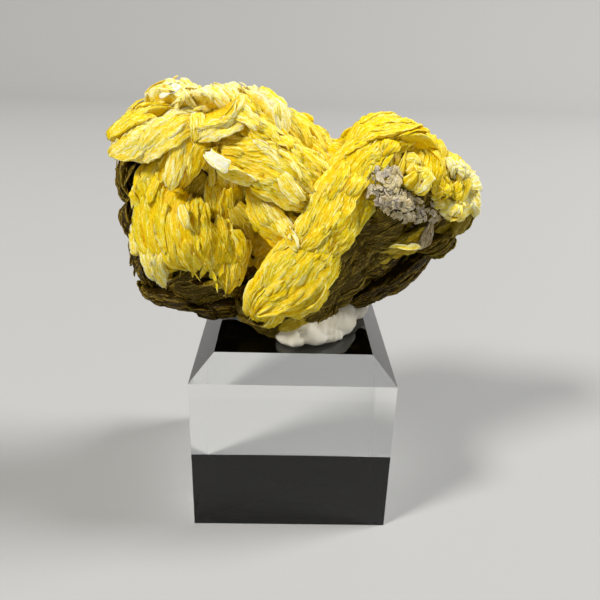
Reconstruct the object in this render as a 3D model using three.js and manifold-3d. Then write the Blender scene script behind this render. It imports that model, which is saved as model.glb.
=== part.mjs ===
// A yellow siderite cluster held by mounting putty on a clear acrylic display block.
// Millimetres, +Z up. The origin is the centre of the block's underside, and the
// cluster's best face looks along -Y and leans back a little.
import * as THREE from "three";
import { mergeVertices } from "three/addons/utils/BufferGeometryUtils.js";
import Module from "manifold-3d";

const wasm = await Module();
wasm.setup();

// ---- Driving dimensions ----

// Acrylic block: a square prism whose top edges are bevelled.
const BLOCK_SIDE = 50;
const BLOCK_HEIGHT = 48;
const BLOCK_BEVEL = 5.7;

// Clearance between two pieces that touch.
const CONTACT_GAP = 0.3;

// Facets of the round lumps.
const CORE_SIDES = 10;
const CORE_RINGS = 7;
const PUTTY_SIDES = 12;
const PUTTY_RINGS = 7;

// Foot of the cluster: an ellipsoid, turned about Z, that is pressed into the putty.
const FOOT = { at: [3, -3, 60], radii: [15, 10, 10.5], lean: 0, turn: 50 };

// Putty: a lump under the foot and a thin tail squeezed out beside it.
const PUTTY_LUMPS = [
  { at: [6, -4.5, 49], radii: [14, 9, 7.5], lean: 0, turn: 50 },
  { at: [14, 4, 49], radii: [9.5, 4.5, 3], lean: 0, turn: 44 },
];

// Dense middle of the cluster, under the sheaves: ellipsoids that lean about Y.
const CORE_LUMPS = [
  { at: [-22, 5, 82], radii: [18, 13, 22], lean: 0, turn: 0 },
  { at: [-22, 4, 65], radii: [18, 12, 12], lean: 0, turn: 0 },
  { at: [-4, 5, 79], radii: [15, 12, 19], lean: 0, turn: 0 },
  { at: [13, 0, 81], radii: [10, 12, 22], lean: 35, turn: 0 },
  { at: [31, 4, 83], radii: [13, 10, 10], lean: 20, turn: 0 },
  { at: [19, 3, 70], radii: [14, 10, 9], lean: -35, turn: 0 },
];

// The cluster's face tips back by this angle.
const FACE_LEAN = 23;

// Plates: the spacing of the ridges in a sheaf, the depth of the grooves between them,
// the height of a ridge along its length, and how far the ridges vary.
const FRONT_PITCH = 4.2;
const BACK_PITCH = 6;
const GROOVE_DEPTH = 1.8;
const PLATE_PROFILE = [0, 0.92, 0.92, 0];
const BASE_SHARE = 0.15;
const KEEL_SHARE = 0.6;
const LENGTH_JITTER = 0.2;
const SLIDE_JITTER = 0.08;
const RISE_JITTER = 0.5;
const PLATE_SEED = 2017;

// Sheaves: fans of lens-shaped plates that stand side by side.
//   at     the middle of the crest
//   out    the way the rims face, as [right, up, forward] of the leaning face
//   along  the way the rims run, in the same three directions
//   size   along the rims, across them, and half the height of a plate
//   fan    degrees that the fan opens across the rims, and that the rims splay
const FRONT_SHEAVES = [
  // Left mass, crown
  { at: [-39, -1, 101.5], out: [-0.6, 0.6, 0.5], along: [0.92, 0.39, 0], size: [18, 10, 7], fan: [60, 8] },
  { at: [-31, 4, 109], out: [-0.3, 1, 0.1], along: [0.8, 0, 0.6], size: [13, 13, 8], fan: [60, 20] },
  { at: [-28, -2, 104.5], out: [-0.1, 0.5, 0.85], along: [0.6, 0.8, 0], size: [15, 15, 8], fan: [50, 20] },
  { at: [-18, 5, 108.5], out: [0, 1, 0.2], along: [0.3, 0, 0.95], size: [14, 20, 8], fan: [40, 16] },
  { at: [-13, -3, 103.5], out: [0.1, 0.5, 0.85], along: [0.5, -0.87, 0], size: [17, 20, 8], fan: [50, 20] },
  { at: [-5.5, 4, 104.5], out: [0.5, 0.85, 0.2], along: [0.6, -0.6, 0.5], size: [19, 14, 8], fan: [50, 12] },
  { at: [3, -1, 98.5], out: [0.45, 0.5, 0.75], along: [0.68, -0.73, 0], size: [23, 11, 8], fan: [50, 8] },
  // Left mass, upper face
  { at: [-31.5, -9, 92.5], out: [0.35, -0.8, 0.5], along: [0.93, 0.37, 0], size: [20, 6, 6], fan: [24, 8] },
  { at: [-24, -10, 95], out: [0.2, 0, 1], along: [-0.12, 1, 0], size: [20, 9, 7], fan: [50, 10] },
  { at: [-16.5, -10, 100], out: [0.4, -0.75, 0.5], along: [0.87, 0.5, 0], size: [14, 4, 5], fan: [20, 6] },
  { at: [-8, -8.5, 98.5], out: [0.1, 0.3, 0.95], along: [0.64, -0.77, 0], size: [19, 9, 7], fan: [40, 8] },
  { at: [0.5, -11, 94], out: [0.2, 0.2, 1], along: [0.72, -0.69, 0], size: [20, 8, 7], fan: [40, 8] },
  { at: [1.5, -12, 86], out: [-0.6, -0.6, 0.5], along: [0.75, -0.65, 0], size: [12, 4, 4], fan: [16, 4] },
  { at: [-8, -14, 92], out: [0, 0.05, 1], along: [0.89, -0.45, 0], size: [29, 12, 8], fan: [60, 12] },
  { at: [-16.5, -14.5, 90.5], out: [-0.5, -0.7, 0.5], along: [0.8, -0.6, 0], size: [11, 3, 4], fan: [16, 6] },
  // Left mass, hollow between the upper face and the cape
  { at: [-5, -9.5, 84.5], out: [0, 0, 1], along: [0.82, -0.57, 0], size: [22, 9, 7], fan: [40, 6] },
  { at: [-18, -9.5, 83], out: [0.2, -0.1, 1], along: [0.1, 1, 0.2], size: [12, 9, 7], fan: [40, 12] },
  { at: [-13, -11, 79.5], out: [0.2, -0.1, 1], along: [0.5, -0.86, 0], size: [12, 5, 6], fan: [24, 6] },
  { at: [-7.5, -13, 78.5], out: [-0.5, -0.5, 0.7], along: [0.6, -0.8, 0], size: [19, 7, 6], fan: [30, 8] },
  { at: [-1.5, -13, 78], out: [-0.4, -0.2, 1], along: [0.5, -0.86, 0], size: [10, 5, 5], fan: [24, 6] },
  // Cape: sheaves that hang straight down
  { at: [-38, -7, 82], out: [-0.45, 0, 0.9], along: [-0.08, 1, 0], size: [25, 10, 8], fan: [60, 8] },
  { at: [-33, -13.5, 69.5], out: [-0.35, -0.3, 0.9], along: [-0.12, 1, 0], size: [17, 11, 7], fan: [60, 14] },
  { at: [-24.5, -16.5, 77], out: [0, 0.1, 1], along: [-0.1, 1, 0], size: [25, 18, 9], fan: [60, 24] },
  { at: [-14.5, -15.5, 72], out: [0.35, -0.1, 0.95], along: [0.12, 1, 0], size: [24, 10, 8], fan: [50, 12] },
  { at: [-23, -9, 61], out: [0, -0.5, 0.85], along: [0.95, 0.2, 0], size: [20, 11, 7], fan: [50, 10] },
  // Arm: sheaves that climb to the right
  { at: [20, 0, 101], out: [-0.1, 0.85, 0.5], along: [0.7, 0.7, 0], size: [20, 14, 9], fan: [60, 12] },
  { at: [12.5, -9, 93], out: [-0.25, 0.35, 0.9], along: [0.62, 0.78, 0], size: [24, 12, 8], fan: [50, 10] },
  { at: [6, -16.5, 84], out: [-0.2, 0.1, 1], along: [0.54, 0.84, 0], size: [30, 11, 9], fan: [60, 10] },
  { at: [13, -15, 82], out: [0.35, 0, 0.95], along: [0.56, 0.83, 0], size: [30, 10, 9], fan: [40, 8] },
  { at: [-1, -20, 69.5], out: [-0.15, 0, 1], along: [0.64, 0.77, 0], size: [30, 12, 9], fan: [60, 10] },
  { at: [6.5, -18.5, 68], out: [0.45, -0.3, 0.85], along: [0.7, 0.7, 0], size: [27, 10, 8], fan: [50, 8] },
  { at: [-7.5, -17, 59.5], out: [-0.2, -0.5, 0.85], along: [0.5, 0.87, 0], size: [16, 10, 7], fan: [60, 14] },
  { at: [1.5, -17, 60], out: [0.2, -0.6, 0.8], along: [0.9, 0.35, 0], size: [15, 8, 6], fan: [50, 14] },
  // Right lobe
  { at: [27, 1, 99.5], out: [0.1, 0.9, 0.4], along: [0.6, 0.7, 0.3], size: [14, 15, 8], fan: [60, 16] },
  { at: [33.5, 0, 95], out: [0.4, 0.75, 0.5], along: [0.3, 0.9, 0.3], size: [12, 12, 8], fan: [60, 16] },
  { at: [30.5, -6, 90], out: [0.1, 0.2, 1], along: [0.15, 1, 0], size: [13, 9, 7], fan: [40, 12] },
  { at: [37.5, -5, 86], out: [0, 0.1, 1], along: [0.25, 1, 0], size: [14, 10, 7], fan: [60, 12] },
  { at: [40, 1, 93], out: [0.5, 0.8, 0.3], along: [0.3, 0.3, 0.9], size: [9, 9, 7], fan: [60, 20] },
  { at: [45, 1, 88], out: [0.85, 0.5, 0.3], along: [0.1, 0.3, 0.9], size: [9, 8, 7], fan: [60, 20] },
  { at: [47, 1, 81], out: [1, -0.1, 0.3], along: [0.2, 0.5, 0.9], size: [10, 9, 7], fan: [60, 20] },
  { at: [38.5, -5, 81], out: [0, -0.5, 0.9], along: [0.95, 0.2, 0], size: [11, 6, 6], fan: [40, 10] },
  { at: [44, 2, 74.5], out: [0.8, -0.6, 0.2], along: [0.6, 0.6, 0.5], size: [12, 10, 8], fan: [60, 20] },
  { at: [20, -11, 88.5], out: [0.5, 0.2, 0.8], along: [0.6, 0.8, 0], size: [10, 7, 5], fan: [50, 30] },
  { at: [22.5, -11, 83], out: [0.5, -0.1, 0.85], along: [0.75, 0.6, 0], size: [10, 7, 5], fan: [50, 30] },
  { at: [30.5, -7, 81.5], out: [0.2, -0.3, 0.9], along: [0.65, 0.75, 0], size: [12, 7, 6], fan: [40, 16] },
  { at: [32.5, -5, 73.5], out: [0.5, -0.6, 0.6], along: [0.4, 0.9, 0], size: [10, 4, 5], fan: [16, 8] },
  { at: [38, 1, 69], out: [0.5, -0.8, 0.4], along: [0.9, 0.3, 0], size: [15, 10, 8], fan: [50, 20] },
  // Flank under the arm
  { at: [21.5, -9.5, 77], out: [0.45, -0.5, 0.75], along: [0.95, 0.1, 0], size: [18, 9, 7], fan: [50, 12] },
  { at: [27.5, -5.5, 70], out: [0.4, -0.8, 0.5], along: [0.95, 0.2, 0], size: [15, 7, 7], fan: [30, 8] },
  { at: [14.5, -12.5, 70.5], out: [0.6, -0.4, 0.7], along: [0.6, 0.8, 0], size: [25, 8, 8], fan: [40, 8] },
  { at: [30, 1, 59], out: [0.5, -0.8, 0.3], along: [0.78, 0.62, 0], size: [23, 12, 8], fan: [50, 12] },
  { at: [21.5, -1, 55], out: [0.4, -0.9, 0.3], along: [0.75, 0.6, 0], size: [19, 10, 8], fan: [50, 12] },
  { at: [11, -9.5, 59.5], out: [0.3, -0.8, 0.6], along: [0.85, 0.5, 0], size: [17, 8, 6], fan: [50, 16] },
  { at: [-8, -12, 51], out: [-0.2, -0.85, 0.5], along: [0.85, -0.4, 0], size: [18, 10, 8], fan: [50, 14] },
  { at: [3, -13, 52.5], out: [0.1, -0.8, 0.6], along: [0.95, 0.2, 0], size: [14, 8, 6], fan: [50, 14] },
  // Left side and underside
  { at: [-44, 3, 86], out: [-0.95, 0.1, 0.2], along: [0.1, 1, 0], size: [17, 11, 8], fan: [50, 14] },
  { at: [-44.5, 4, 73], out: [-0.95, -0.2, 0.2], along: [0.1, 1, 0.1], size: [19, 12, 9], fan: [50, 14] },
  { at: [-41, 2, 60], out: [-0.8, -0.6, 0.1], along: [0.5, 0.7, 0.3], size: [18, 12, 8], fan: [60, 14] },
  { at: [-33.5, -2, 52], out: [-0.3, -0.95, 0.1], along: [0.9, 0.1, 0.2], size: [18, 13, 8], fan: [50, 14] },
  { at: [-20, -5, 51], out: [0, -1, 0.1], along: [0.95, 0.2, 0], size: [20, 12, 8], fan: [40, 14] },
];

const BACK_SHEAVES = [
  { at: [-36, 14, 96], out: [-0.6, 0.6, -0.7], along: [0.6, 0.8, 0], size: [22, 14, 9], fan: [60, 12] },
  { at: [-18, 17, 100], out: [0, 0.8, -0.7], along: [-0.4, 0.9, 0], size: [22, 18, 9], fan: [60, 16] },
  { at: [-1, 14, 96], out: [0.2, 0.8, -0.6], along: [0.7, 0.7, 0], size: [20, 14, 8], fan: [60, 12] },
  { at: [14, 11, 92], out: [0, 0.8, -0.5], along: [-0.6, 0.8, 0], size: [20, 13, 8], fan: [60, 12] },
  { at: [29, 13, 90], out: [0.3, 0.6, -0.7], along: [0.3, 0.95, 0], size: [18, 15, 8], fan: [60, 14] },
  { at: [42, 10, 83], out: [0.8, 0.2, -0.6], along: [-0.2, 1, 0], size: [18, 13, 8], fan: [60, 14] },
  { at: [-40, 14, 78], out: [-0.7, 0.3, -0.9], along: [-0.2, 1, 0], size: [23, 14, 9], fan: [60, 14] },
  { at: [-21, 21, 81], out: [0, 0.4, -1], along: [0.5, 0.85, 0], size: [26, 18, 9], fan: [60, 14] },
  { at: [-3, 19, 79], out: [0.1, 0.4, -1], along: [-0.3, 0.95, 0], size: [24, 16, 9], fan: [60, 14] },
  { at: [14, 16, 78], out: [0.2, 0.3, -1], along: [0.6, 0.8, 0], size: [23, 15, 8], fan: [60, 14] },
  { at: [30, 15, 74], out: [0.4, -0.1, -0.9], along: [0.9, 0.3, 0], size: [20, 14, 8], fan: [60, 14] },
  { at: [-33, 15, 61], out: [-0.4, -0.3, -0.9], along: [0.9, -0.4, 0], size: [21, 14, 8], fan: [60, 14] },
  { at: [-15, 17, 61], out: [0, -0.2, -1], along: [-0.6, 0.8, 0], size: [20, 15, 8], fan: [60, 14] },
  { at: [3, 14, 62], out: [0.1, -0.2, -1], along: [0.9, 0.4, 0], size: [19, 13, 8], fan: [60, 14] },
  { at: [20, 11, 62], out: [0.4, -0.5, -0.8], along: [-0.5, 0.85, 0], size: [19, 13, 8], fan: [60, 14] },
];

// ---- Materials ----

const siderite = new THREE.MeshStandardMaterial({ color: 0xd9b614, roughness: 0.45, metalness: 0 });
const putty = new THREE.MeshStandardMaterial({ color: 0xe4dfcb, roughness: 0.8, metalness: 0 });
const acrylic = new THREE.MeshStandardMaterial({
  color: 0xf2f6f7, roughness: 0.04, metalness: 0, transparent: true, opacity: 0.3,
});

// ---- Small helpers ----

// A repeatable stream of numbers from 0 to 1.
function randomStream(seed) {
  let state = seed;
  return () => {
    state = (state + 0x6d2b79f5) | 0;
    let mixed = Math.imul(state ^ (state >>> 15), state | 1);
    mixed ^= mixed + Math.imul(mixed ^ (mixed >>> 7), mixed | 61);
    return ((mixed ^ (mixed >>> 14)) >>> 0) / 4294967296;
  };
}

const radians = THREE.MathUtils.degToRad;
const vary = (random, amount) => (random() * 2 - 1) * amount;

// Turns [right, up, forward] of the leaning face into a direction in the part's frame.
function faceDirection([right, up, forward]) {
  const lean = radians(FACE_LEAN);
  return new THREE.Vector3(
    right,
    up * Math.sin(lean) - forward * Math.cos(lean),
    up * Math.cos(lean) + forward * Math.sin(lean),
  ).normalize();
}

function solidOf(geometry) {
  const bare = geometry.index ? geometry.clone() : geometry;
  bare.deleteAttribute("normal");
  bare.deleteAttribute("uv");
  const merged = mergeVertices(bare, 1e-4);
  const mesh = new wasm.Mesh({
    numProp: 3,
    vertProperties: new Float32Array(merged.attributes.position.array),
    triVerts: new Uint32Array(merged.index.array),
  });
  return new wasm.Manifold(mesh);
}

function geometryOf(solid) {
  const mesh = solid.getMesh();
  const geometry = new THREE.BufferGeometry();
  geometry.setAttribute("position", new THREE.BufferAttribute(new Float32Array(mesh.vertProperties), 3));
  geometry.setIndex(new THREE.BufferAttribute(new Uint32Array(mesh.triVerts), 1));
  return geometry;
}

// The outermost body of a solid, without the small voids shut in between its plates.
function outerBody(solid) {
  return solid.decompose().reduce((best, body) => (body.volume() > best.volume() ? body : best));
}

function ellipsoid({ at, radii, lean, turn }, sides, rings) {
  const geometry = new THREE.SphereGeometry(1, sides, rings);
  geometry.scale(...radii);
  geometry.rotateY(radians(lean));
  geometry.rotateZ(radians(turn));
  geometry.translate(...at);
  return solidOf(geometry);
}

// ---- Acrylic block ----

function blockGeometry() {
  const corner = (BLOCK_SIDE / 2) * Math.SQRT2;
  const topCorner = (BLOCK_SIDE / 2 - BLOCK_BEVEL) * Math.SQRT2;
  const profile = [
    new THREE.Vector2(0, 0),
    new THREE.Vector2(corner, 0),
    new THREE.Vector2(corner, BLOCK_HEIGHT - BLOCK_BEVEL),
    new THREE.Vector2(topCorner, BLOCK_HEIGHT),
    new THREE.Vector2(0, BLOCK_HEIGHT),
  ];
  const geometry = new THREE.LatheGeometry(profile, 4, Math.PI / 4);
  geometry.rotateX(Math.PI / 2);
  return geometryOf(solidOf(geometry));
}

// ---- Siderite cluster ----

// One sheaf as a closed solid: a fan of ridges, one for each plate's rim, with grooves
// between them. Its columns run across the rims, its rows along them, and one point
// under the fan closes it.
function sheafGeometry(sheaf, pitch, random) {
  const [length, width, depth] = sheaf.size;
  const [sweep, spread] = sheaf.fan;
  const out = faceDirection(sheaf.out);
  const along = faceDirection(sheaf.along);
  along.addScaledVector(out, -along.dot(out)).normalize();
  const radius = width / radians(sweep);
  const pivot = new THREE.Vector3(...sheaf.at).addScaledVector(out, -radius);
  const base = Math.max(radius - depth, BASE_SHARE * radius);
  const columns = 2 * Math.max(2, Math.round(width / pitch));
  const rows = PLATE_PROFILE.length - 1;
  const position = [];
  for (let column = 0; column <= columns; column += 1) {
    const share = column / columns - 0.5;
    const rise = out.clone().applyAxisAngle(along, radians(-share * sweep));
    const run = along.clone().applyAxisAngle(rise, radians(share * spread));
    const reach = length * (1 - random() * LENGTH_JITTER);
    const slide = length * vary(random, SLIDE_JITTER);
    const groove = column % 2 === 0 ? GROOVE_DEPTH : 0;
    const crest = radius + vary(random, RISE_JITTER) - groove;
    for (let row = 0; row <= rows; row += 1) {
      const height = base + (crest - base) * PLATE_PROFILE[row];
      const place = slide + (row / rows - 0.5) * reach;
      const point = pivot.clone().addScaledVector(rise, height).addScaledVector(run, place);
      position.push(...point.toArray());
    }
  }
  position.push(...pivot.addScaledVector(out, base - depth * KEEL_SHARE).toArray());
  const geometry = new THREE.BufferGeometry();
  geometry.setAttribute("position", new THREE.Float32BufferAttribute(position, 3));
  geometry.setIndex(closedFanIndex(columns, rows));
  return geometry;
}

// Triangles of a grid of columns and rows, closed by a last point under it.
function closedFanIndex(columns, rows) {
  const corner = (column, row) => column * (rows + 1) + row;
  const apex = (columns + 1) * (rows + 1);
  const index = [];
  for (let column = 0; column < columns; column += 1) {
    for (let row = 0; row < rows; row += 1) {
      const near = corner(column, row);
      const far = corner(column + 1, row);
      index.push(near, near + 1, far, far, near + 1, far + 1);
    }
    index.push(corner(column, 0), corner(column + 1, 0), apex);
    index.push(corner(column + 1, rows), corner(column, rows), apex);
  }
  for (let row = 0; row < rows; row += 1) {
    index.push(corner(0, row + 1), corner(0, row), apex);
    index.push(corner(columns, row), corner(columns, row + 1), apex);
  }
  return index;
}

function clusterSolid() {
  const random = randomStream(PLATE_SEED);
  const cores = [FOOT, ...CORE_LUMPS].map((lump) => ellipsoid(lump, CORE_SIDES, CORE_RINGS));
  const front = FRONT_SHEAVES.map((sheaf) => solidOf(sheafGeometry(sheaf, FRONT_PITCH, random)));
  const back = BACK_SHEAVES.map((sheaf) => solidOf(sheafGeometry(sheaf, BACK_PITCH, random)));
  return outerBody(wasm.Manifold.union([...cores, ...front, ...back]));
}

// ---- Mounting putty ----

// The putty takes the imprint of the cluster, with the contact gap on every side.
function puttyGeometry(cluster) {
  const size = 2 * BLOCK_SIDE;
  const below = new THREE.BoxGeometry(size, size, size);
  below.translate(0, 0, BLOCK_HEIGHT + CONTACT_GAP - size / 2);
  let lump = wasm.Manifold.union(PUTTY_LUMPS.map((part) => ellipsoid(part, PUTTY_SIDES, PUTTY_RINGS)));
  lump = lump.subtract(solidOf(below));
  for (const step of [-CONTACT_GAP, CONTACT_GAP]) {
    lump = lump.subtract(cluster.translate([step, 0, 0]));
    lump = lump.subtract(cluster.translate([0, step, 0]));
    lump = lump.subtract(cluster.translate([0, 0, step]));
  }
  return geometryOf(outerBody(lump));
}

// ---- The object ----

function named(name, geometry, material) {
  const mesh = new THREE.Mesh(geometry, material);
  mesh.name = name;
  return mesh;
}

const cluster = clusterSolid();
const display = new THREE.Group();
display.add(named("acrylic_base", blockGeometry(), acrylic));
display.add(named("mounting_putty", puttyGeometry(cluster), putty));
display.add(named("siderite_cluster", geometryOf(cluster), siderite));

export default display;
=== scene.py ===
"""A yellow siderite cluster held by mounting putty on a clear acrylic display block.

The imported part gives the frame, in metres. Lengths here are named in millimetres and scaled by MM.
The cluster is a heap of sheaves, and each sheaf is a fan of thin curved plates that stand side by side.
"""

import math
from collections import namedtuple

import bpy
import numpy as np
from mathutils import Matrix, Vector


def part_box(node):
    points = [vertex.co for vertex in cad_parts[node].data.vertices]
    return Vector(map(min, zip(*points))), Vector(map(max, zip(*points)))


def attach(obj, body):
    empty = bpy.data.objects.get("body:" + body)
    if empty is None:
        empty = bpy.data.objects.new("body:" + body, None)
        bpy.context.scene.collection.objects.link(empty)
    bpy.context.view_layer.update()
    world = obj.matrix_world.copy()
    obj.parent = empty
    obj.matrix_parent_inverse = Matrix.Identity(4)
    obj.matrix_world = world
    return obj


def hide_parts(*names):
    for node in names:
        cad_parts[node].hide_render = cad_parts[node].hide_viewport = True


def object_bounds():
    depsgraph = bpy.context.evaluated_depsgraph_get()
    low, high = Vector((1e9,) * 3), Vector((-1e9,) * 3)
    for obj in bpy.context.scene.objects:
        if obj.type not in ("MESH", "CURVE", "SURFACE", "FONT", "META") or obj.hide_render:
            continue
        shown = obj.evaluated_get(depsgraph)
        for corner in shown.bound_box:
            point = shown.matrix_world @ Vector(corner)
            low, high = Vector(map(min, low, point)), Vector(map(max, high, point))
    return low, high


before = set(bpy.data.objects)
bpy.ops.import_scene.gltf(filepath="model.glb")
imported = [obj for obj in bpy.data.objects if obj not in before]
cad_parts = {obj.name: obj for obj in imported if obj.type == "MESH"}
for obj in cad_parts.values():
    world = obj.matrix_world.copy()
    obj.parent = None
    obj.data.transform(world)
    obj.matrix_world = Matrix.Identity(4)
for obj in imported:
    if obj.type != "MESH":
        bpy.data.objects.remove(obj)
cad_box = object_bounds()

MM = 0.001
SEED = 2017

# ---- The cluster's sheaves ----

# The cluster's face tips back by this angle, in degrees.
FACE_LEAN = 23

# How a sheaf is laid and coloured: lens-shaped blades that overlap like shingles. A blade's width and
# length and the step down from its raised rim, in mm, loose scales per square mm, and how cream, how
# olive brown and how grey it is, from 0 to 1. The olive brown is partly the mineral's darker oxidised
# colour and partly painted shade on undersides, flanks and hollows. Over 1, a cream surface turns
# white, as a painted glare highlight.
Finish = namedtuple("Finish", "blade cell step scales pale shade grey", defaults=(0.0, 0.0, 0.0))
LEMON = Finish(1.7, 8, 0.45, 0.05, pale=0.10)
GOLD = Finish(1.7, 10, 0.40, 0.04)
# The crown's cream is partly painted backlight on its upper tips.
CREST = Finish(1.5, 4.5, 0.55, 0.08, pale=0.50)
CREAM = Finish(2.0, 9, 0.40, 0.05, pale=0.45)
LEAF = Finish(2.4, 7, 0.35, 0.05, pale=0.38)
PLATE = Finish(9.0, 20, 0.30, 0.05, pale=0.58)
# A white painted glare highlight on a plate's face.
PAINTED_GLARE = Finish(9.0, 20, 0.20, 0.05, pale=1.50)
SHINGLE = Finish(1.8, 8, 0.55, 0.05, pale=0.03)
# Painted shade: this finish and the next darken the gold towards olive brown, partly the mineral's own
# darker colour and partly painted shade in hollows and on shaded sides.
OCHRE_AND_SHADE = Finish(1.7, 8, 0.55, 0.06, shade=0.50)
AMBER_AND_SHADE = Finish(1.7, 8, 0.55, 0.05, shade=0.40)
# The right lobe's lumps are paler partly as painted backlight.
KNOB = Finish(1.6, 4, 0.50, 0.08, pale=0.60)
GREY = Finish(1.8, 4, 0.60, 0.06, pale=0.20, shade=0.30, grey=0.78)
# Painted shade: these three darken the gold towards olive brown, partly the mineral's own darker oxidised
# colour and partly painted shade on undersides, flanks, the left side and the lower back.
UMBER_AND_SHADE = Finish(1.8, 8, 0.55, 0.07, shade=0.75)
OLIVE_AND_SHADE = Finish(1.8, 8, 0.55, 0.07, shade=0.93)
BROWN_AND_SHADE = Finish(1.8, 8, 0.55, 0.07, shade=0.99)

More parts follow.
